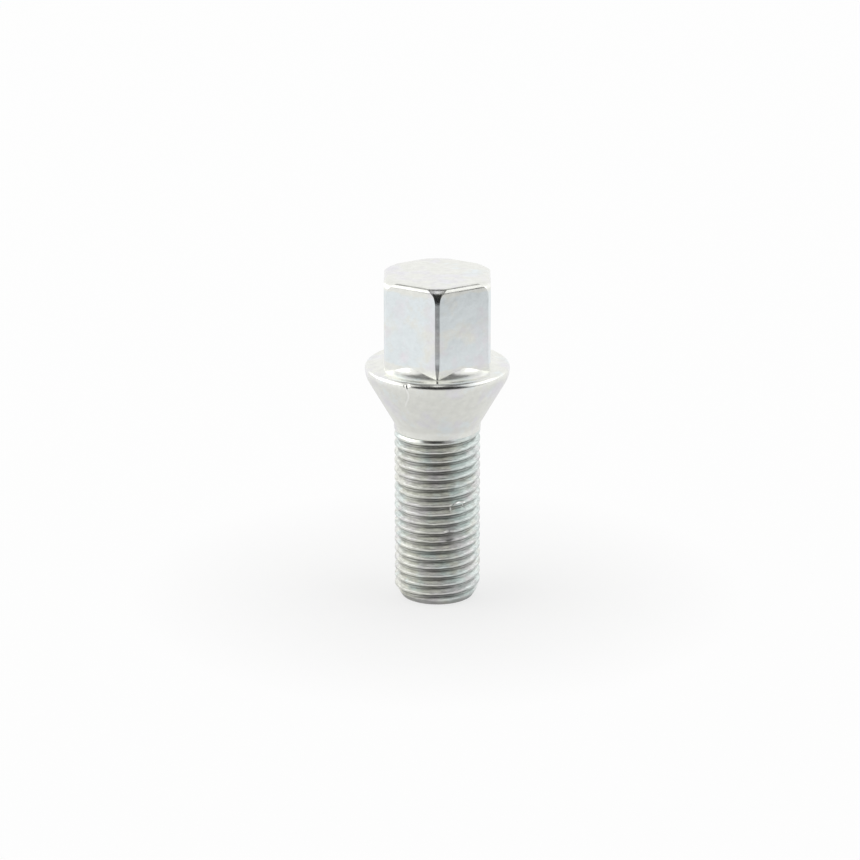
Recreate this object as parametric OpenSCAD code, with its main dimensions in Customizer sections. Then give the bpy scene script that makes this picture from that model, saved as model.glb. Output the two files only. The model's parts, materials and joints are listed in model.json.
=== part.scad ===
// Wheel bolt with a hexagon head, a collar and a conical seat, forged in one piece
// with a rolled right-hand thread. The origin is the centre of the flat end of the
// thread, +Z runs up the axis to the head, and two flats of the hexagon face +X and -X.

/* [Thread] */
// Diameter over the thread crests
thread_d = 13.8; // [12.8:0.1:14]
// Rise of the thread in one turn
pitch = 1.5; // [1.25:0.25:2]
// Angle between the two flanks of the thread groove
flank_angle = 60; // [50:5:60]
// Width of the flat on top of the thread
crest_w = 0.3; // [0.16:0.02:0.34]
// Width of the flat at the bottom of the groove
root_w = 0.26; // [0.16:0.02:0.3]
// Height above the flat end at which the first crest passes the +X side
first_crest = 1.1; // [0:0.1:1.4]
// Turns over which the groove runs out below the neck
runout_turns = 0.75; // [0.5:0.05:1.5]

/* [Shank] */
// Length from the flat end to the foot of the seat cone
shank_length = 29.4; // [22:0.1:40]
// Width of the bevel round the flat end, from the thread crests inwards
bevel_width = 1.1; // [0.8:0.05:1.6]
// Height of the bevel round the flat end
bevel_height = 1.8; // [0.8:0.05:2.4]
// Length of the plain neck between the thread and the seat
neck_length = 1; // [0.6:0.1:4]
// How far the neck stands out past the thread crests
neck_proud = 0.06; // [0.04:0.01:0.2]
// Radius of the fillet between the neck and the seat cone
neck_fillet = 1; // [0.4:0.1:1.4]

/* [Seat and collar] */
// Angle of the whole seat cone
seat_angle = 60; // [56:1:64]
// Diameter of the collar
collar_d = 23.2; // [22:0.1:24]
// Height of the collar's rim above the foot of the seat cone
rim_height = 9.3; // [8.8:0.1:12]
// Rounding of the collar's upper edge
rim_round = 0.4; // [0.2:0.05:0.6]

/* [Head] */
// Width across the flats of the hexagon
hex_af = 16.9; // [16:0.1:17]
// Height of the head above the collar
head_height = 15.05; // [10:0.05:18]
// Diameter over the corners of the hexagon
corner_d = 19.1; // [18.9:0.05:19.3]
// How far inside the corners the flat top of the head ends
crown_inset = 1.35; // [1.2:0.05:1.6]
// Radius of the shoulder round the flat top
shoulder_r = 1; // [0.8:0.05:1.15]
// Slope of the corners, from upright, where they meet the shoulder
corner_lean = 15; // [12:1:24]
// Rounding of the edges between the flats and the top
top_round = 0.75; // [0.3:0.05:0.9]
// Radius of the fillet between the collar and the hexagon
hex_fillet = 2.2; // [1:0.1:2.4]
// How far inside the flats the fillet starts
fillet_inset = 0.15; // [0.05:0.05:0.4]

/* [Hidden] */

// Facets of true circles, and straight pieces in a turn of the thread and in a rounding
$fn = 96;
turn_steps = 36;
round_steps = 5;
// Depth by which one piece of the form runs into the next
bite = 1;

thread_r = thread_d / 2;
thread_depth = (pitch - crest_w - root_w) / 2 / tan(flank_angle / 2);
neck_r = thread_r + neck_proud;
neck_z = shank_length - neck_length;
end_r = thread_r - bevel_width;

seat_half = seat_angle / 2;
collar_r = collar_d / 2;
rim_z = shank_length + rim_height;
collar_z = rim_z + rim_round;
// The collar's side is an arc that leaves the seat cone smoothly and stands upright at the rim
cone_r_at_rim = neck_r + rim_height * tan(seat_half);
side_r = (cone_r_at_rim - collar_r) / (sin(seat_half) * tan(seat_half) - 1 + cos(seat_half));
// Centre of the neck fillet, which touches the neck and the seat cone
neck_fillet_z = shank_length - neck_fillet * tan(seat_half / 2);

top_z = collar_z + head_height;
corner_r = corner_d / 2;
// The crown is a shoulder round the flat top and a wide arc that brings the corners upright
shoulder_centre = [corner_r - crown_inset, top_z - shoulder_r];
crown_arc_r = (crown_inset - shoulder_r * cos(corner_lean)) / (1 - cos(corner_lean));
crown_arc_z = shoulder_centre[1] + shoulder_r * sin(corner_lean) - crown_arc_r * sin(corner_lean);
hex_fillet_r = hex_af / 2 - fillet_inset + hex_fillet;

// Points on an arc round a centre, from one angle to another
function arc(centre, r, from, to, steps) =
    [for (i = [0:steps]) centre + r * [cos(from + (to - from) * i / steps), sin(from + (to - from) * i / steps)]];

// One turn of the thread form, from the middle of a crest: each point is [rise, share of the depth]
thread_form = [
    [crest_w / 2, 0],
    [pitch / 2 - root_w / 2, 1],
    [pitch / 2 + root_w / 2, 1],
    [pitch - crest_w / 2, 0]
];
form_points = len(thread_form);

// The groove is full depth below its run-out and closes at the neck
function groove(z) = max(0, min(1, (neck_z - z) / (runout_turns * pitch)));

// Point j of the thread form at step k of the helix that starts below the flat end
thread_start = first_crest - 3 * pitch;
thread_steps = ceil((neck_z + bite - thread_start) / pitch * turn_steps);
function thread_point(k, j) =
    let (
        turn = k * 360 / turn_steps,
        z = thread_start + pitch * k / turn_steps + thread_form[j][0],
        r = thread_r - thread_depth * thread_form[j][1] * groove(z)
    )
    [r * cos(turn), r * sin(turn), z];

// Threaded rod as one strip wound up the axis, whose upper edge joins the lower edge of the next turn
module threaded_rod() {
    last = thread_steps + turn_steps;
    wall = [for (k = [0:thread_steps], j = [0:form_points - 1]) thread_point(k, j)];
    lip = [for (k = [thread_steps + 1:last]) thread_point(k, 0)];
    middle = [[0, 0, thread_start + pitch / 2], [0, 0, thread_start + pitch * (thread_steps / turn_steps + 1)]];
    foot_middle = len(wall) + len(lip);
    head_middle = foot_middle + 1;

    // Place in the list of point j at step k; the top turn's upper edge has only its first points
    function at(k, j) =
        j == form_points ? at(k + turn_steps, 0)
        : k > thread_steps ? len(wall) + k - thread_steps - 1
        : k * form_points + j;
    function edge(start) = concat(
        [for (k = [start:start + turn_steps]) at(k, 0)],
        [for (j = [form_points - 1:-1:1]) at(start, j)]
    );
    foot_edge = edge(0);
    head_edge = edge(thread_steps);

    polyhedron(
        points = concat(wall, lip, middle),
        faces = concat(
            [for (k = [0:thread_steps - 1], j = [0:form_points - 1]) each [
                [at(k, j), at(k + 1, j + 1), at(k + 1, j)],
                [at(k, j), at(k, j + 1), at(k + 1, j + 1)]
            ]],
            [for (i = [0:len(foot_edge) - 1])
                [foot_middle, foot_edge[i], foot_edge[(i + 1) % len(foot_edge)]]],
            [for (i = [0:len(head_edge) - 1])
                [head_middle, head_edge[(i + 1) % len(head_edge)], head_edge[i]]]
        )
    );
}

// The rod inside its flat, bevelled end
module threaded_shank() {
    clear_r = thread_r + bite;
    intersection() {
        threaded_rod();
        rotate_extrude()
            polygon([
                [0, 0],
                [end_r, 0],
                [clear_r, (clear_r - end_r) * bevel_height / bevel_width],
                [clear_r, neck_z + 2 * bite],
                [0, neck_z + 2 * bite]
            ]);
    }
}

// Neck, seat cone and collar up to the foot of the hexagon
module seat_and_collar() {
    rotate_extrude()
        difference() {
            polygon(concat(
                [[0, neck_z], [neck_r, neck_z]],
                arc([neck_r + neck_fillet, neck_fillet_z], neck_fillet, 180, 180 - seat_half, round_steps),
                arc([collar_r - side_r, rim_z], side_r, -seat_half, 0, 2 * round_steps),
                arc([collar_r - rim_round, rim_z], rim_round, 0, 90, round_steps),
                [[hex_fillet_r, collar_z], [hex_fillet_r - hex_fillet, collar_z + hex_fillet], [0, collar_z + hex_fillet]]
            ));
            translate([hex_fillet_r, collar_z + hex_fillet])
                circle(hex_fillet);
        }
}

// Hexagon under a round crown that draws its corners in towards the top
module hexagon() {
    to_corner = 1 / cos(30);
    intersection() {
        rotate([0, 0, 30])
            rotate_extrude($fn = 6)
                polygon(concat(
                    [[0, collar_z - bite], [hex_af / 2 * to_corner, collar_z - bite]],
                    [for (p = arc([hex_af / 2 - top_round, top_z - top_round], top_round, 0, 90, round_steps))
                        [p[0] * to_corner, p[1]]],
                    [[0, top_z]]
                ));
        rotate_extrude()
            polygon(concat(
                [[0, collar_z - bite], [corner_r, collar_z - bite]],
                arc([corner_r - crown_arc_r, crown_arc_z], crown_arc_r, 0, corner_lean, round_steps),
                arc(shoulder_centre, shoulder_r, corner_lean, 90, 2 * round_steps),
                [[0, top_z]]
            ));
    }
}

module wheel_bolt() {
    color("gainsboro")
        union() {
            threaded_shank();
            seat_and_collar();
            hexagon();
        }
}

wheel_bolt();
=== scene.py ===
import json
import math

import bmesh
import bpy
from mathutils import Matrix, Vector, noise


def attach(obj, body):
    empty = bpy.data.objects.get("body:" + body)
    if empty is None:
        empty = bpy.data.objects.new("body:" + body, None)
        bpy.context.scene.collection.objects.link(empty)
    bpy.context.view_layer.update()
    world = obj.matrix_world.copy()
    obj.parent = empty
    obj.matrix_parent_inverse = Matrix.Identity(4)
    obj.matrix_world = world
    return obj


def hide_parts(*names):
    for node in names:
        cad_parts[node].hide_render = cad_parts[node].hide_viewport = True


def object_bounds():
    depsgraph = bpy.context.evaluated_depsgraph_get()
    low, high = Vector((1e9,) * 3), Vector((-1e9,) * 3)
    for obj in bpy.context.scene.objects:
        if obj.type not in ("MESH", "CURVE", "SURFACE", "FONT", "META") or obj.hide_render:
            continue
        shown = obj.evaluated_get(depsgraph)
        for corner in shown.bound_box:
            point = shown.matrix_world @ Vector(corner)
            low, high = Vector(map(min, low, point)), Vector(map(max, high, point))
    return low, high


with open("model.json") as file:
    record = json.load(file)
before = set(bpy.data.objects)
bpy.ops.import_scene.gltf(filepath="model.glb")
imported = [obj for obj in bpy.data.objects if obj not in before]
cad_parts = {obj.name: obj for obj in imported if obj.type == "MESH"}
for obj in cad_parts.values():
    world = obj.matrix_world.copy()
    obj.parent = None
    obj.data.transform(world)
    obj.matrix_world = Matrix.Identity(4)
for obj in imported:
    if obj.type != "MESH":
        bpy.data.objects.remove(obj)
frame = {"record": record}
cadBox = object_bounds()
mounts = {mount["name"]: mount for mount in frame["record"]["mounts"]}
mm = 0.001  # the bolt is modelled in millimetres and scaled to metres at the end


def mountHeight(name):
    return mounts[name]["pos_m"][2] / mm


# Camera at the photograph's viewing angle: 19 degrees above the floor, one corner of the hexagon towards it
cameraSetup = {
    "target": (0, 0, 0.0265),
    "distance": 0.68,
    "elevation": 19,
    "lens": 177.04,
    "sensor": 36,
    "shift": (-0.0085, 0.0089),
    "clip": (0.01, 20),
}


def makeCamera(setup):
    data = bpy.data.cameras.new("camera")
    data.lens = setup["lens"]
    data.sensor_width = setup["sensor"]
    data.shift_x, data.shift_y = setup["shift"]
    data.clip_start, data.clip_end = setup["clip"]
    camera = bpy.data.objects.new("camera", data)
    rise = math.radians(setup["elevation"])
    x, y, z = setup["target"]
    camera.location = (x, y - setup["distance"] * math.cos(rise), z + setup["distance"] * math.sin(rise))
    camera.rotation_euler = (math.radians(90) - rise, 0, 0)
    bpy.context.scene.collection.objects.link(camera)
    bpy.context.scene.camera = camera


makeCamera(cameraSetup)
print("camera placed")


# Points on an arc round a centre, from one angle to another in degrees
def arc(centre, radius, start, end, steps):
    points = []
    for i in range(steps + 1):
        turn = math.radians(start + (end - start) * i / steps)
        points.append((centre[0] + radius * math.cos(turn), centre[1] + radius * math.sin(turn)))
    return points


# A chain of edges in the XZ plane through (radius, height) points
def outline(mesh, points):
    verts = [mesh.verts.new((radius, 0, height)) for radius, height in points]
    edges = [mesh.edges.new(pair) for pair in zip(verts, verts[1:])]
    return verts + edges


def cleanUp(mesh, distance):
    bmesh.ops.remove_doubles(mesh, verts=mesh.verts, dist=distance)
    bmesh.ops.recalc_face_normals(mesh, faces=mesh.faces)


# Closed solid of revolution from an outline that starts and ends on the axis
def turned(points, steps):
    mesh = bmesh.new()
    bmesh.ops.spin(mesh, geom=outline(mesh, points), cent=(0, 0, 0), axis=(0, 0, 1), dvec=(0, 0, 0),
                   angle=math.tau, steps=steps, use_merge=True)
    cleanUp(mesh, 1e-4)
    return mesh


def asObject(mesh, name):
    data = bpy.data.meshes.new(name)
    mesh.to_mesh(data)
    mesh.free()
    piece = bpy.data.objects.new(name, data)
    bpy.context.scene.collection.objects.link(piece)
    return piece


# Replaces an object's mesh with what its modifiers make of it
def applyModifiers(piece):
    seen = piece.evaluated_get(bpy.context.evaluated_depsgraph_get())
    data = bpy.data.meshes.new_from_object(seen)
    piece.modifiers.clear()
    old, piece.data = piece.data, data
    bpy.data.meshes.remove(old)


# Joins, cuts or keeps the common part of two solids, and uses the second one up
def combine(piece, tool, operation):
    modifier = piece.modifiers.new("combine", "BOOLEAN")
    modifier.operation = operation
    modifier.solver = "EXACT"
    modifier.object = tool
    applyModifiers(piece)
    bpy.data.objects.remove(tool)


# Threaded shank, in millimetres: sizes that the frame gives are read from its mounts
shank = {
    "crestRadius": mounts["thread"]["dims"]["r_mm"],
    "pitch": 1.5,
    "flank": 30,  # degrees from a flank to the plane across the axis
    "depth": 0.814,
    "crestWidth": 0.3,
    "crestRound": 0.09,
    "firstCrest": 1.1,  # height where the first crest passes +X
    "neckHeight": mounts["thread"]["dims"]["length_mm"],
    "runOut": 1.1,  # height over which the groove closes under the neck
    "endRadius": mounts["thread"]["dims"]["r_mm"] - 1.1,
    "bevelHeight": 1.8,
    "wobble": 0.07,  # how far the rolled crests wander up and down
    "wobbleScale": 0.7,
    "stepsPerTurn": 80,
    "roundSteps": 3,
    "bevelSteps": 192,
}


# One pitch of the thread, from the middle of a crest to the middle of the next, as (rise, radius) points
def threadForm(size):
    crest, pitch, flank = size["crestRadius"], size["pitch"], size["flank"]
    slope = math.tan(math.radians(flank))
    valley = crest - (pitch / 2 - size["crestWidth"] / 2) / slope  # where the two flanks would meet
    away = 1 / math.sin(math.radians(flank))  # from there to the middle of the root's rounding, in its radii
    rootRound = (crest - size["depth"] - valley) / (away - 1)
    corner = size["crestWidth"] / 2 - size["crestRound"] * math.tan(math.radians(90 - flank) / 2)
    half = [(0, crest)]
    half += arc((corner, crest - size["crestRound"]), size["crestRound"], 90, flank, size["roundSteps"])
    half += arc((pitch / 2, valley + away * rootRound), rootRound, 180 + flank, 270, size["roundSteps"])
    return half + [(pitch - rise, radius) for rise, radius in reversed(half[:-1])]


def makeShank(size):
    pitch, steps = size["pitch"], size["stepsPerTurn"]
    below = 2 * pitch
    turns = math.ceil((size["neckHeight"] + below) / pitch) + 2
    mesh = bmesh.new()
    form = [(radius, size["firstCrest"] - below + rise) for rise, radius in threadForm(size)]
    bmesh.ops.spin(mesh, geom=outline(mesh, form), cent=(0, 0, 0), axis=(0, 0, 1), dvec=(0, 0, pitch / steps),
                   angle=math.tau * turns, steps=steps * turns, use_merge=False)
    cleanUp(mesh, 0.01)
    for vert in mesh.verts:  # the groove closes under the neck
        radius = math.hypot(vert.co.x, vert.co.y)
        share = min(1, max(0, (size["neckHeight"] - vert.co.z) / size["runOut"]))
        wanted = size["crestRadius"] - (size["crestRadius"] - radius) * share
        vert.co.x *= wanted / radius
        vert.co.y *= wanted / radius
        vert.co.z += size["wobble"] * share * noise.noise(vert.co * size["wobbleScale"])
    top = size["neckHeight"] + 0.6  # a little way into the neck
    for height, way in ((-0.1, -1), (top, 1)):
        bmesh.ops.bisect_plane(mesh, geom=mesh.verts[:] + mesh.edges[:] + mesh.faces[:], dist=1e-5,
                               plane_co=(0, 0, height), plane_no=(0, 0, way), clear_outer=True)
    bmesh.ops.edgeloop_fill(mesh, edges=[edge for edge in mesh.edges if edge.is_boundary])
    cleanUp(mesh, 1e-4)
    piece = asObject(mesh, "shank")
    slope = size["bevelHeight"] / (size["crestRadius"] - size["endRadius"])
    clear = size["crestRadius"] + 1
    envelope = [(0, 0), (size["endRadius"], 0), (clear, (clear - size["endRadius"]) * slope),
                (clear, top + 1), (0, top + 1)]
    combine(piece, asObject(turned(envelope, size["bevelSteps"]), "bevel"), "INTERSECT")
    return piece


# Neck, conical seat and collar, in millimetres
collar = {
    "neckRadius": mounts["neck"]["dims"]["r_mm"],
    "neckHeight": shank["neckHeight"],
    "neckFillet": 1,
    "seatFoot": mountHeight("cone_seat"),
    "seatHalfAngle": 30,
    "rimRadius": cadBox[1][0] / mm,
    "rimHeight": mountHeight("cone_seat") + 9.05,
    "rimRound": 0.75,
    "filletRadius": 2.2,  # between the collar and the hexagon
    "filletCentre": 10.5,  # distance of its centre from the axis
    "steps": 240,
    "arcSteps": {"neck": 6, "side": 14, "rim": 8, "fillet": 14},
}


def makeCollar(size):
    neck, foot, rim = size["neckRadius"], size["seatFoot"], size["rimRadius"]
    half = math.radians(size["seatHalfAngle"])
    wide = neck + (size["rimHeight"] - foot) * math.tan(half)  # where the cone would reach the rim's height
    side = (wide - rim) / (math.sin(half) * math.tan(half) - 1 + math.cos(half))
    top = size["rimHeight"] + size["rimRound"]
    fillet, steps = size["filletRadius"], size["arcSteps"]
    points = [(0, size["neckHeight"]), (neck, size["neckHeight"])]
    points += arc((neck + size["neckFillet"], foot - size["neckFillet"] * math.tan(half / 2)), size["neckFillet"],
                  180, 180 - size["seatHalfAngle"], steps["neck"])
    points += arc((rim - side, size["rimHeight"]), side, -size["seatHalfAngle"], 0, steps["side"])
    points += arc((rim - size["rimRound"], size["rimHeight"]), size["rimRound"], 0, 90, steps["rim"])[1:]
    points += arc((size["filletCentre"], top + fillet), fillet, 270, 180, steps["fillet"])
    points += [(0, top + fillet)]
    return asObject(turned(points, size["steps"]), "collar")


# Hexagon head under its crown, in millimetres
head = {
    "acrossFlats": 16.9,
    "overCorners": 19.1,
    "top": mountHeight("head_top"),
    "bottom": mountHeight("head_top") - 15.6,
    "crownInset": 1.6,  # from the corners in to the edge of the flat top
    "shoulder": 1.5,  # radius of the rounding that the crown has there
    "cornerLean": 10,  # degrees that the corners lean inwards below it
    "topRound": 0.8,
    "edgeRound": 0.12,
    "edgeAngle": 18,  # degrees between two faces from which their edge is rounded
    "cornerFoot": ((0.12, 1.1), (0.03, 2.4), (0, 3.7)),  # flare of the corners, as (outwards, above the bottom)
    "arcSteps": {"top": 6, "lean": 12, "shoulder": 16, "edge": 3},
}


def makeHead(size):
    mesh = bmesh.new()
    bmesh.ops.create_circle(mesh, cap_ends=True, segments=6, radius=size["acrossFlats"] / 2 / math.cos(math.pi / 6))
    bmesh.ops.translate(mesh, verts=mesh.verts, vec=(0, 0, size["bottom"]))
    raised = bmesh.ops.extrude_face_region(mesh, geom=mesh.faces[:])["geom"]
    top = [part for part in raised if isinstance(part, bmesh.types.BMVert)]
    bmesh.ops.translate(mesh, verts=top, vec=(0, 0, size["top"] - size["bottom"]))
    bmesh.ops.recalc_face_normals(mesh, faces=mesh.faces)
    rim = [edge for edge in mesh.edges if all(vert in top for vert in edge.verts)]
    bmesh.ops.bevel(mesh, geom=rim, offset=size["topRound"], segments=size["arcSteps"]["top"], profile=0.5,
                    affect="EDGES", offset_type="OFFSET", material=-1)
    piece = asObject(mesh, "head")

    corner, shoulder = size["overCorners"] / 2, size["shoulder"]
    lean = math.radians(size["cornerLean"])
    centre = (corner - size["crownInset"], size["top"] - shoulder)
    wide = (size["crownInset"] - shoulder * math.cos(lean)) / (1 - math.cos(lean))
    upright = (corner - wide, centre[1] + (shoulder - wide) * math.sin(lean))
    crown = [(0, size["bottom"] - 1), (corner + size["cornerFoot"][0][0], size["bottom"] - 1)]
    crown += [(corner + out, size["bottom"] + up) for out, up in size["cornerFoot"]]
    crown += arc(upright, wide, 0, size["cornerLean"], size["arcSteps"]["lean"])
    crown += arc(centre, shoulder, size["cornerLean"], 90, size["arcSteps"]["shoulder"])[1:]
    crown += [(centre[0] - 0.5, size["top"] + 0.5), (0, size["top"] + 0.5)]
    combine(piece, asObject(turned(crown, collar["steps"]), "crown"), "INTERSECT")

    mesh = bmesh.new()
    mesh.from_mesh(piece.data)
    limit, aboveBottom = math.radians(size["edgeAngle"]), size["bottom"] + 0.1
    sharp = [edge for edge in mesh.edges
             if edge.calc_face_angle(0) > limit and min(vert.co.z for vert in edge.verts) > aboveBottom]
    bmesh.ops.bevel(mesh, geom=sharp, offset=size["edgeRound"], segments=size["arcSteps"]["edge"], profile=0.5,
                    affect="EDGES", offset_type="OFFSET", clamp_overlap=True, material=-1)
    mesh.to_mesh(piece.data)
    mesh.free()
    return piece


bolt = makeCollar(collar)
combine(bolt, makeHead(head), "UNION")
print("head and collar joined")
combine(bolt, makeShank(shank), "UNION")
bolt.name = bolt.data.name = "bolt"
print("thread joined,", len(bolt.data.polygons), "faces")


# Knocks from handling, in millimetres: where each one is, with its turn from the front in degrees, how far it
# reaches over the surface, and how deep it is
knocks = [
    {"turn": -24.7, "height": 38.8, "radius": 11.5, "reach": 0.55, "depth": 0.13},
    {"turn": 15.8, "height": 12.9, "radius": 6.9, "reach": 0.7, "depth": 0.35},
    {"turn": 15.1, "height": 11.5, "radius": 6.9, "reach": 0.5, "depth": 0.25},
    {"turn": 27, "height": 17.5, "radius": 6.9, "reach": 0.6, "depth": -0.06},
    {"turn": 38, "height": 16.6, "radius": 6.9, "reach": 0.7, "depth": 0.3},
]


def knock(piece, marks):
    for mark in marks:
        turn = math.radians(mark["turn"])
        centre = Vector((mark["radius"] * math.sin(turn), -mark["radius"] * math.cos(turn), mark["height"]))
        for vert in piece.data.vertices:
            near = 1 - (vert.co - centre).length_squared / mark["reach"] ** 2
            if near > 0:
                share = 1 - mark["depth"] * near ** 2 / math.hypot(vert.co.x, vert.co.y)
                vert.co.x *= share
                vert.co.y *= share


knock(bolt, knocks)


# Smooth shading that breaks at edges of more than so many degrees, and the metres of the frame
def finishShape(piece, edgeAngle=20):
    mesh = bmesh.new()
    mesh.from_mesh(piece.data)
    bmesh.ops.remove_doubles(mesh, verts=mesh.verts, dist=2e-4)
    bmesh.ops.scale(mesh, vec=(mm, mm, mm), verts=mesh.verts)
    for edge in mesh.edges:
        edge.smooth = edge.calc_face_angle(0) < math.radians(edgeAngle)
    for face in mesh.faces:
        face.smooth = True
        face.material_index = 1 if face.calc_center_median().z < shank["neckHeight"] * mm else 0
    mesh.to_mesh(piece.data)
    mesh.free()
    weight = piece.modifiers.new("even normals", "WEIGHTED_NORMAL")
    weight.keep_sharp = True
    applyModifiers(piece)


finishShape(bolt)


# Small helpers for materials
def addNode(tree, kind, values=None, **settings):
    node = tree.nodes.new(kind)
    for name, value in settings.items():
        setattr(node, name, value)
    for name, value in (values or {}).items():
        if isinstance(value, bpy.types.NodeSocket):
            tree.links.new(value, node.inputs[name])
        else:
            node.inputs[name].default_value = value
    return node


def mathNode(tree, operation, first, second=0.0, third=0.0):
    return addNode(tree, "ShaderNodeMath", {0: first, 1: second, 2: third}, operation=operation).outputs[0]


def newMaterial(name):
    material = bpy.data.materials.new(name)
    material.use_nodes = True
    material.node_tree.nodes.clear()
    return material, material.node_tree


def newGroup(name, inputs, outputs):
    tree = bpy.data.node_groups.new(name, "ShaderNodeTree")
    for socketName, kind, value in inputs:
        socket = tree.interface.new_socket(socketName, in_out="INPUT", socket_type=kind)
        if value is not None:
            socket.default_value = value
    for socketName, kind in outputs:
        tree.interface.new_socket(socketName, in_out="OUTPUT", socket_type=kind)
    return tree, tree.nodes.new("NodeGroupInput"), tree.nodes.new("NodeGroupOutput")


def ramp(tree, value, fromMin, fromMax, toMin=0.0, toMax=1.0):
    return addNode(tree, "ShaderNodeMapRange", {"Value": value, "From Min": fromMin, "From Max": fromMax,
                                                "To Min": toMin, "To Max": toMax}).outputs[0]


# The same between two places in millimetres
def rampAlong(tree, value, ends, toMin=0.0, toMax=1.0):
    return ramp(tree, value, ends[0] * mm, ends[1] * mm, toMin, toMax)


def blend(tree, share, first, second):
    return addNode(tree, "ShaderNodeMix", {0: share, 6: first, 7: second}, data_type="RGBA").outputs[2]


def scaled(tree, vector, factor):
    return addNode(tree, "ShaderNodeVectorMath", {0: vector, "Scale": factor}, operation="SCALE").outputs[0]


def bumped(tree, height, normal=None):
    values = {"Strength": 1.0, "Distance": mm, "Height": height}
    if normal is not None:
        values["Normal"] = normal
    return addNode(tree, "ShaderNodeBump", values).outputs[0]


def cloud(tree, place, scale, detail=3.0, roughness=0.55):
    return addNode(tree, "ShaderNodeTexNoise", {"Vector": place, "Scale": scale, "Detail": detail,
                                                "Roughness": roughness}).outputs["Fac"]


# Clear zinc plating: soft patches of blue and lilac over a warm white, with finer lighter and darker specks
plating = {
    "detail": 4.0,
    "roughness": 0.6,
    "lilacShift": (0.05, 0.02, 0.03),  # metres, which keep the lilac patches apart from the cool ones
    "coolEdge": (0.5, 0.64),  # values of the noise between which a patch fades in
    "lilacEdge": (0.5, 0.66),
    "speckScale": 4.0,  # times the scale of the patches
    "speckDetail": 3.0,
    "speckEdge": (0.3, 0.7),
    "speckShade": (0.945, 1.05),  # factors on the colour
}


def makeTint(look):
    tree, start, end = newGroup("zincTint", [
        ("Vector", "NodeSocketVector", None),
        ("Base", "NodeSocketColor", (0.8, 0.8, 0.8, 1)),
        ("Cool", "NodeSocketColor", (0.8, 0.8, 0.8, 1)),
        ("Lilac", "NodeSocketColor", (0.8, 0.8, 0.8, 1)),
        ("Lean", "NodeSocketFloat", 0.0),
        ("Scale", "NodeSocketFloat", 230.0),
    ], [("Color", "NodeSocketColor"), ("Specks", "NodeSocketFloat")])
    place, scale = start.outputs["Vector"], start.outputs["Scale"]
    shifted = addNode(tree, "ShaderNodeVectorMath", {0: place, 1: look["lilacShift"]}, operation="ADD").outputs[0]
    cool, lilac = (cloud(tree, where, scale, look["detail"], look["roughness"]) for where in (place, shifted))
    coolPatch = ramp(tree, mathNode(tree, "ADD", cool, start.outputs["Lean"]), *look["coolEdge"])
    lilacPatch = ramp(tree, lilac, *look["lilacEdge"])
    specks = cloud(tree, place, mathNode(tree, "MULTIPLY", scale, look["speckScale"]), look["speckDetail"],
                   look["roughness"])
    colour = blend(tree, lilacPatch, blend(tree, coolPatch, start.outputs["Base"], start.outputs["Cool"]),
                   start.outputs["Lilac"])
    shade = ramp(tree, specks, *look["speckEdge"], *look["speckShade"])
    tree.links.new(scaled(tree, colour, shade), end.inputs["Color"])
    tree.links.new(specks, end.inputs["Specks"])
    return tree


# Skin of the metal: a shallow swell and a finer grain, closer together along an axis where Flow is large
surface = {  # scale, detail and, where it isn't the usual one, roughness of the noise
    "swell": (260.0, 2.0),
    "grain": (1400.0, 3.0, 0.6),
}


def makeSkin(look):
    tree, start, end = newGroup("metalSkin", [
        ("Vector", "NodeSocketVector", None),
        ("Flow", "NodeSocketVector", (1, 1, 1)),
        ("Swell", "NodeSocketFloat", 0.04),
        ("Grain", "NodeSocketFloat", 0.008),
    ], [("Normal", "NodeSocketVector"), ("Streaks", "NodeSocketFloat"), ("Lines", "NodeSocketFloat")])
    place = addNode(tree, "ShaderNodeVectorMath", {0: start.outputs["Vector"], 1: start.outputs["Flow"]},
                    operation="MULTIPLY").outputs[0]
    broad, fine = cloud(tree, place, *look["swell"]), cloud(tree, place, *look["grain"])
    height = mathNode(tree, "ADD", mathNode(tree, "MULTIPLY", broad, start.outputs["Swell"]),
                      mathNode(tree, "MULTIPLY", fine, start.outputs["Grain"]))
    tree.links.new(bumped(tree, height), end.inputs["Normal"])
    tree.links.new(broad, end.inputs["Streaks"])
    tree.links.new(fine, end.inputs["Lines"])
    return tree


# A wavy fold in the forging, in millimetres, which runs down the collar's side from a knock on its rim
fold = {
    "middle": (-4.75, 35.9),  # across and height
    "sway": 0.22,
    "waveLength": 4,
    "edge": (0.22, 0.02),  # distances from its middle line where it starts and where it is full
    "fadeIn": (34.2, 35.2),  # heights
    "fadeOut": (38.9, 38.7),
}


def makeFold(look):
    tree, start, end = newGroup("forgingFold", [("Vector", "NodeSocketVector", None)], [("Mask", "NodeSocketFloat")])
    place = addNode(tree, "ShaderNodeSeparateXYZ", {0: start.outputs["Vector"]}).outputs
    rise = mathNode(tree, "SUBTRACT", place["Z"], look["middle"][1] * mm)
    wave = mathNode(tree, "SINE", mathNode(tree, "MULTIPLY", rise, math.tau / (look["waveLength"] * mm)))
    middle = mathNode(tree, "MULTIPLY_ADD", wave, look["sway"] * mm, look["middle"][0] * mm)
    aside = mathNode(tree, "ABSOLUTE", mathNode(tree, "SUBTRACT", place["X"], middle))
    line = rampAlong(tree, aside, look["edge"])
    above, below = rampAlong(tree, place["Z"], look["fadeIn"]), rampAlong(tree, place["Z"], look["fadeOut"])
    front = mathNode(tree, "LESS_THAN", place["Y"], 0.0)
    mask = mathNode(tree, "MULTIPLY", mathNode(tree, "MULTIPLY", line, front), mathNode(tree, "MULTIPLY", above, below))
    tree.links.new(mask, end.inputs["Mask"])
    return tree


zincTint, metalSkin, forgingFold = makeTint(plating), makeSkin(surface), makeFold(fold)


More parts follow.
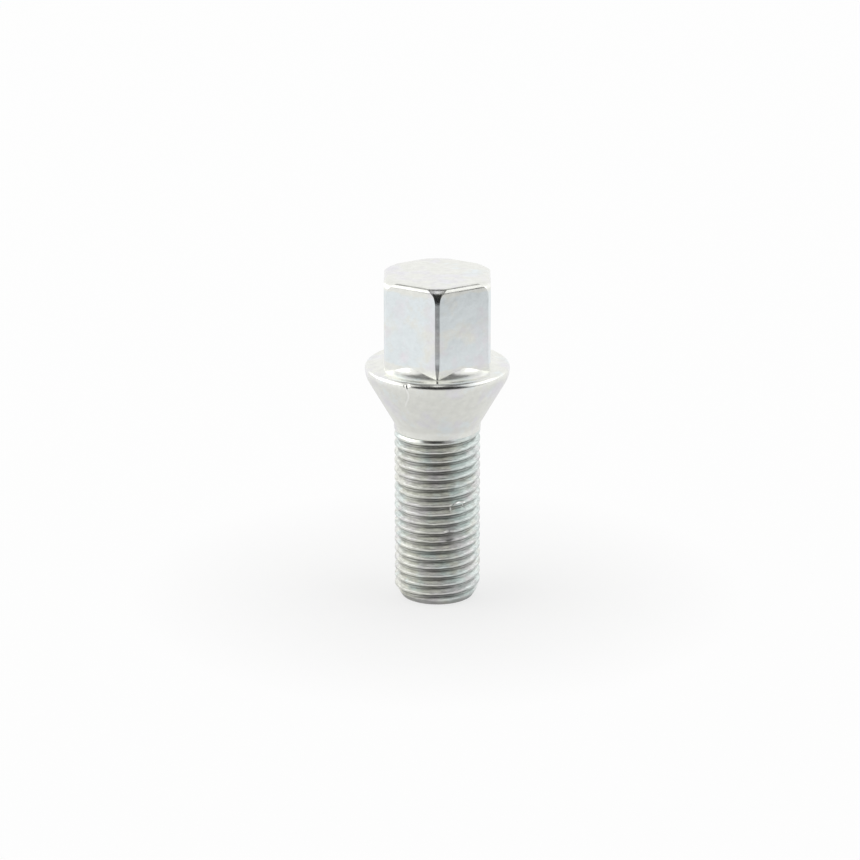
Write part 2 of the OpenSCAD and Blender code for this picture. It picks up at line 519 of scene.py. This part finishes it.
# Two finishes, with places and heights in millimetres: the forged head and collar, and the rolled thread, whose
# grooves are rougher and painted darker as shade
finishes = {
    "forgedZinc": {
        "base": (0.83, 0.835, 0.79, 1),
        "cool": (0.78, 0.83, 0.845, 1),
        "lilac": (0.8, 0.79, 0.82, 1),
        # painted highlight: near-white colour along the fold's raised line
        "fold": (0.97, 0.97, 0.95, 1),
        "foldHighlightShare": 0.7,  # of the fold's painted highlight colour
        "foldHeight": 0.06,
        "flats": (mountHeight("head_top") - 13.6, mountHeight("head_top") - 1),  # heights of the cooler flats
        "flatsEdge": 0.6,
        "lean": (-0.06, 0.12),  # towards cool, off the flats and on them
        "flow": (1, 1, 1),
        "swell": 0.045,
        "grain": 0.007,
        "roughness": (0.19, 0.26),  # in the darker and in the lighter specks
    },
    "rolledZinc": {
        "base": (0.74, 0.745, 0.69, 1),
        "cool": (0.69, 0.75, 0.73, 1),
        "lilac": (0.71, 0.7, 0.7, 1),
        # painted shade: dark grey that the thread's grooves are blended towards
        "groove": (0.12, 0.12, 0.11, 1),
        "grooveShadeShare": 0.55,
        "grooveTop": shank["crestRadius"] - 0.5,  # radius where the groove starts to turn rougher and painted darker
        "grooveFloor": shank["crestRadius"] - 0.76,
        "grooveUneven": 0.5,
        "coolSide": (1.5, 4),  # distances towards +X over which the lean changes
        "lean": (0, 0.16),
        "curl": {  # a raised curl of metal, as the upper part of a ring, with a painted highlight along it
            "place": (3.554, -5.914, 16.1),
            "radius": 1.55,
            "edge": (0.18, 0.02),
            "end": 0.4,  # height over which its foot fades in
            "height": 0.1,
            # painted highlight: near-white colour along the curl
            "colour": (0.98, 0.98, 0.96, 1),
        },
        "flow": (0.6, 0.6, 5),
        "swell": 0.05,
        "grain": 0.02,
        "lineEdge": (0.38, 0.62),
        "lineShade": (0.83, 1.17),  # darkest and lightest of the rolled lines
        "roughness": (0.3, 0.42),  # on the crests and in the grooves
    },
}


def startFinish(name, look):
    material, tree = newMaterial(name)
    place = addNode(tree, "ShaderNodeTexCoord").outputs["Object"]
    tint = addNode(tree, "ShaderNodeGroup", node_tree=zincTint)
    skin = addNode(tree, "ShaderNodeGroup", node_tree=metalSkin)
    tree.links.new(place, tint.inputs["Vector"])
    tree.links.new(place, skin.inputs["Vector"])
    for socket, key in (("Base", "base"), ("Cool", "cool"), ("Lilac", "lilac")):
        tint.inputs[socket].default_value = look[key]
    for socket, key in (("Flow", "flow"), ("Swell", "swell"), ("Grain", "grain")):
        skin.inputs[socket].default_value = look[key]
    return material, tree, place, tint, skin


def endFinish(tree, colour, roughness, normal):
    metal = addNode(tree, "ShaderNodeBsdfPrincipled", {"Metallic": 1.0, "Base Color": colour, "Roughness": roughness,
                                                       "Normal": normal})
    out = addNode(tree, "ShaderNodeOutputMaterial")
    tree.links.new(metal.outputs[0], out.inputs["Surface"])


def makeForgedZinc(name, look):
    material, tree, place, tint, skin = startFinish(name, look)
    height = addNode(tree, "ShaderNodeSeparateXYZ", {0: place}).outputs["Z"]
    low, high = look["flats"]
    flats = mathNode(tree, "MULTIPLY", rampAlong(tree, height, (low, low + look["flatsEdge"])),
                     rampAlong(tree, height, (high, high - look["flatsEdge"])))
    off, on = look["lean"]
    tree.links.new(mathNode(tree, "MULTIPLY_ADD", flats, on - off, off), tint.inputs["Lean"])
    line = addNode(tree, "ShaderNodeGroup", node_tree=forgingFold)
    tree.links.new(place, line.inputs["Vector"])
    # the fold is a real raised line, made by the bump; its near-white colour is a painted highlight
    foldHighlight = mathNode(tree, "MULTIPLY", line.outputs["Mask"], look["foldHighlightShare"])
    ridge = mathNode(tree, "MULTIPLY", line.outputs["Mask"], look["foldHeight"])
    colour = blend(tree, foldHighlight, tint.outputs["Color"], look["fold"])
    roughness = ramp(tree, tint.outputs["Specks"], *plating["speckEdge"], *look["roughness"])
    endFinish(tree, colour, roughness, bumped(tree, ridge, skin.outputs["Normal"]))
    return material


def makeRolledZinc(name, look):
    material, tree, place, tint, skin = startFinish(name, look)
    flat = addNode(tree, "ShaderNodeVectorMath", {0: place, 1: (1, 1, 0)}, operation="MULTIPLY").outputs[0]
    radius = addNode(tree, "ShaderNodeVectorMath", {0: flat}, operation="LENGTH").outputs["Value"]
    uneven = mathNode(tree, "MULTIPLY_ADD", skin.outputs["Streaks"], look["grooveUneven"] * mm, radius)
    mean = look["grooveUneven"] / 2
    groove = rampAlong(tree, uneven, (look["grooveTop"] + mean, look["grooveFloor"] + mean))
    # painted shade in the grooves, as a share of the dark groove colour; the groove's higher roughness is real
    paintedGrooveShade = mathNode(tree, "MULTIPLY", groove, look["grooveShadeShare"])
    parts = addNode(tree, "ShaderNodeSeparateXYZ", {0: place}).outputs
    tree.links.new(rampAlong(tree, parts["X"], look["coolSide"], *look["lean"]), tint.inputs["Lean"])

    curl = look["curl"]
    centre = [part * mm for part in curl["place"]]
    away = addNode(tree, "ShaderNodeVectorMath", {0: place, 1: centre}, operation="DISTANCE").outputs["Value"]
    aside = mathNode(tree, "ABSOLUTE", mathNode(tree, "SUBTRACT", away, curl["radius"] * mm))
    foot = curl["place"][2]
    ring = mathNode(tree, "MULTIPLY", rampAlong(tree, aside, curl["edge"]),
                    rampAlong(tree, parts["Z"], (foot, foot + curl["end"])))

    lines = ramp(tree, skin.outputs["Lines"], *look["lineEdge"], *look["lineShade"])
    colour = blend(tree, paintedGrooveShade, scaled(tree, tint.outputs["Color"], lines), look["groove"])
    roughness = ramp(tree, groove, 0.0, 1.0, *look["roughness"])
    normal = bumped(tree, mathNode(tree, "MULTIPLY", ring, curl["height"]), skin.outputs["Normal"])
    # the curl is raised by the bump and painted near white as a highlight
    endFinish(tree, blend(tree, ring, colour, curl["colour"]), roughness, normal)
    return material


bolt.data.materials.append(makeForgedZinc("forgedZinc", finishes["forgedZinc"]))
bolt.data.materials.append(makeRolledZinc("rolledZinc", finishes["rolledZinc"]))
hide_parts("wheel_bolt")
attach(bolt, "root")
print("zinc finish made")


# Studio: a white tent with lamps at its sides, open and dark where the camera stands and greyer overhead
studio = {
    "centre": (0, 0, 0.03),  # where the lamps aim
    "tentLevel": 1.0,
    "floorSize": 4,
    "floorColour": (0.88, 0.88, 0.87, 1),
    "floorWhite": (0.7, 0.95),  # share of plain white that shows near the foot and farther off
    "whiteFrom": (0.012, 0.05),  # distances between which that share changes
    "paintedFootShadow": (0.14, 0),  # painted shadow: how much darker the floor is painted in the metal's reflections near the foot and farther off
    "shadeFrom": (0.07, 0.115),
    "paintedDarkAhead": (0.075, 0.21),  # distances ahead of the foot between which the floor is painted dark in the metal's reflections
    "darkTurn": 12,  # degrees by which that dark side lies to the right of the camera
    "darkNarrow": 0.15,  # how much farther ahead it starts, as a share of the distance aside
    "flags": {  # cards, with tilt in degrees from upright and a shade of grey
        "opening": {"place": (0.06, -0.85, 0.46), "tilt": 0, "size": (1.75, 0.92), "grey": 0.05},
        "forwardLeft": {"place": (-0.3, -0.5, 1.0), "tilt": 90, "size": (0.38, 0.84), "grey": 0.35},
        "forwardRight": {"place": (0.32, -0.5, 1.0), "tilt": 90, "size": (0.42, 0.84), "grey": 0.28},
        "overhead": {"place": (0, 0.16, 1.0), "tilt": 90, "size": (1.1, 0.48), "grey": 0.3},
    },
    "lamps": {  # turn from the front and rise in degrees, distance, size, radiance added to the tent's
        "right": {"turn": 90, "rise": 28, "distance": 0.6, "size": (0.38, 0.36), "level": 0.6},
        "rightLow": {"turn": 90, "rise": 15, "distance": 0.62, "size": (1.15, 0.3), "level": 0.15},
        "left": {"turn": -90, "rise": 28, "distance": 0.6, "size": (0.38, 0.36), "level": 1.0},
        "leftLow": {"turn": -90, "rise": 15, "distance": 0.62, "size": (1.15, 0.3), "level": 0.5},
    },
}


def makeLamp(name, look):
    data = bpy.data.lights.new(name, "AREA")
    data.shape = "RECTANGLE"
    width, height = look["size"]
    data.size, data.size_y = width, height
    data.energy = look["level"] * math.pi * width * height
    lamp = bpy.data.objects.new(name, data)
    turn, rise = math.radians(look["turn"]), math.radians(look["rise"])
    reach = look["distance"] * math.cos(rise)
    x, y, z = studio["centre"]
    lamp.location = (x + reach * math.sin(turn), y - reach * math.cos(turn), z + look["distance"] * math.sin(rise))
    lamp.rotation_euler = (math.pi / 2 - rise, 0, turn)
    lamp.visible_camera = False
    bpy.context.scene.collection.objects.link(lamp)


# Pale floor, plain for the camera; in the metal's reflections it carries a painted shadow near the foot and a painted
# dark band ahead
def makeFloor(look):
    mesh = bmesh.new()
    bmesh.ops.create_grid(mesh, x_segments=1, y_segments=1, size=look["floorSize"] / 2)
    floor = asObject(mesh, "floor")
    material, tree = newMaterial("paleFloor")
    rays = addNode(tree, "ShaderNodeLightPath")
    turn = math.radians(look["darkTurn"])
    place = addNode(tree, "ShaderNodeTexCoord").outputs["Object"]
    ahead, aside = (addNode(tree, "ShaderNodeVectorMath", {0: place, 1: way}, operation="DOT_PRODUCT").outputs["Value"]
                    for way in ((math.sin(turn), -math.cos(turn), 0), (math.cos(turn), math.sin(turn), 0)))
    narrowed = mathNode(tree, "MULTIPLY", mathNode(tree, "ABSOLUTE", aside), look["darkNarrow"])
    far = ramp(tree, mathNode(tree, "SUBTRACT", ahead, narrowed), *look["paintedDarkAhead"])
    away = addNode(tree, "ShaderNodeVectorMath", {0: place}, operation="LENGTH").outputs["Value"]
    near = ramp(tree, away, *look["shadeFrom"], *look["paintedFootShadow"])
    # painted shade, seen only in glossy rays: the floor's colour and white glow are darkened near the foot and far
    # ahead
    dark = mathNode(tree, "MULTIPLY", mathNode(tree, "MAXIMUM", far, near), rays.outputs["Is Glossy Ray"])
    bright = mathNode(tree, "SUBTRACT", 1.0, dark)
    matt = addNode(tree, "ShaderNodeBsdfDiffuse", {"Color": blend(tree, bright, (0, 0, 0, 1), look["floorColour"])})
    white = addNode(tree, "ShaderNodeEmission", {"Color": (1, 1, 1, 1), "Strength": bright})
    seen = mathNode(tree, "ADD", rays.outputs["Is Camera Ray"], rays.outputs["Is Glossy Ray"])
    share = mathNode(tree, "MULTIPLY", seen, ramp(tree, away, *look["whiteFrom"], *look["floorWhite"]))
    mix = addNode(tree, "ShaderNodeMixShader", {0: share, 1: matt.outputs[0], 2: white.outputs[0]})
    out = addNode(tree, "ShaderNodeOutputMaterial")
    tree.links.new(mix.outputs[0], out.inputs["Surface"])
    floor.data.materials.append(material)


def makeFlag(name, look):
    mesh = bmesh.new()
    bmesh.ops.create_grid(mesh, x_segments=1, y_segments=1, size=0.5)  # one metre wide before it is scaled
    bmesh.ops.scale(mesh, vec=(*look["size"], 1), verts=mesh.verts)
    flag = asObject(mesh, name)
    flag.location = look["place"]
    flag.rotation_euler = (math.radians(90 - look["tilt"]), 0, 0)
    flag.visible_camera = False
    material, tree = newMaterial(name + "Card")
    matt = addNode(tree, "ShaderNodeBsdfDiffuse", {"Color": (look["grey"], look["grey"], look["grey"], 1)})
    out = addNode(tree, "ShaderNodeOutputMaterial")
    tree.links.new(matt.outputs[0], out.inputs["Surface"])
    flag.data.materials.append(material)


def makeTent(level):
    world = bpy.data.worlds.new("tent")
    world.use_nodes = True
    tree = world.node_tree
    tree.nodes.clear()
    glow = addNode(tree, "ShaderNodeBackground", {"Color": (1, 1, 1, 1), "Strength": level})
    out = addNode(tree, "ShaderNodeOutputWorld")
    tree.links.new(glow.outputs[0], out.inputs["Surface"])
    bpy.context.scene.world = world


for lampName, lampLook in studio["lamps"].items():
    makeLamp(lampName, lampLook)
makeFloor(studio)
for flagName, flagLook in studio["flags"].items():
    makeFlag(flagName, flagLook)
makeTent(studio["tentLevel"])
bpy.context.scene.view_settings.view_transform = "Standard"
print("studio lit")
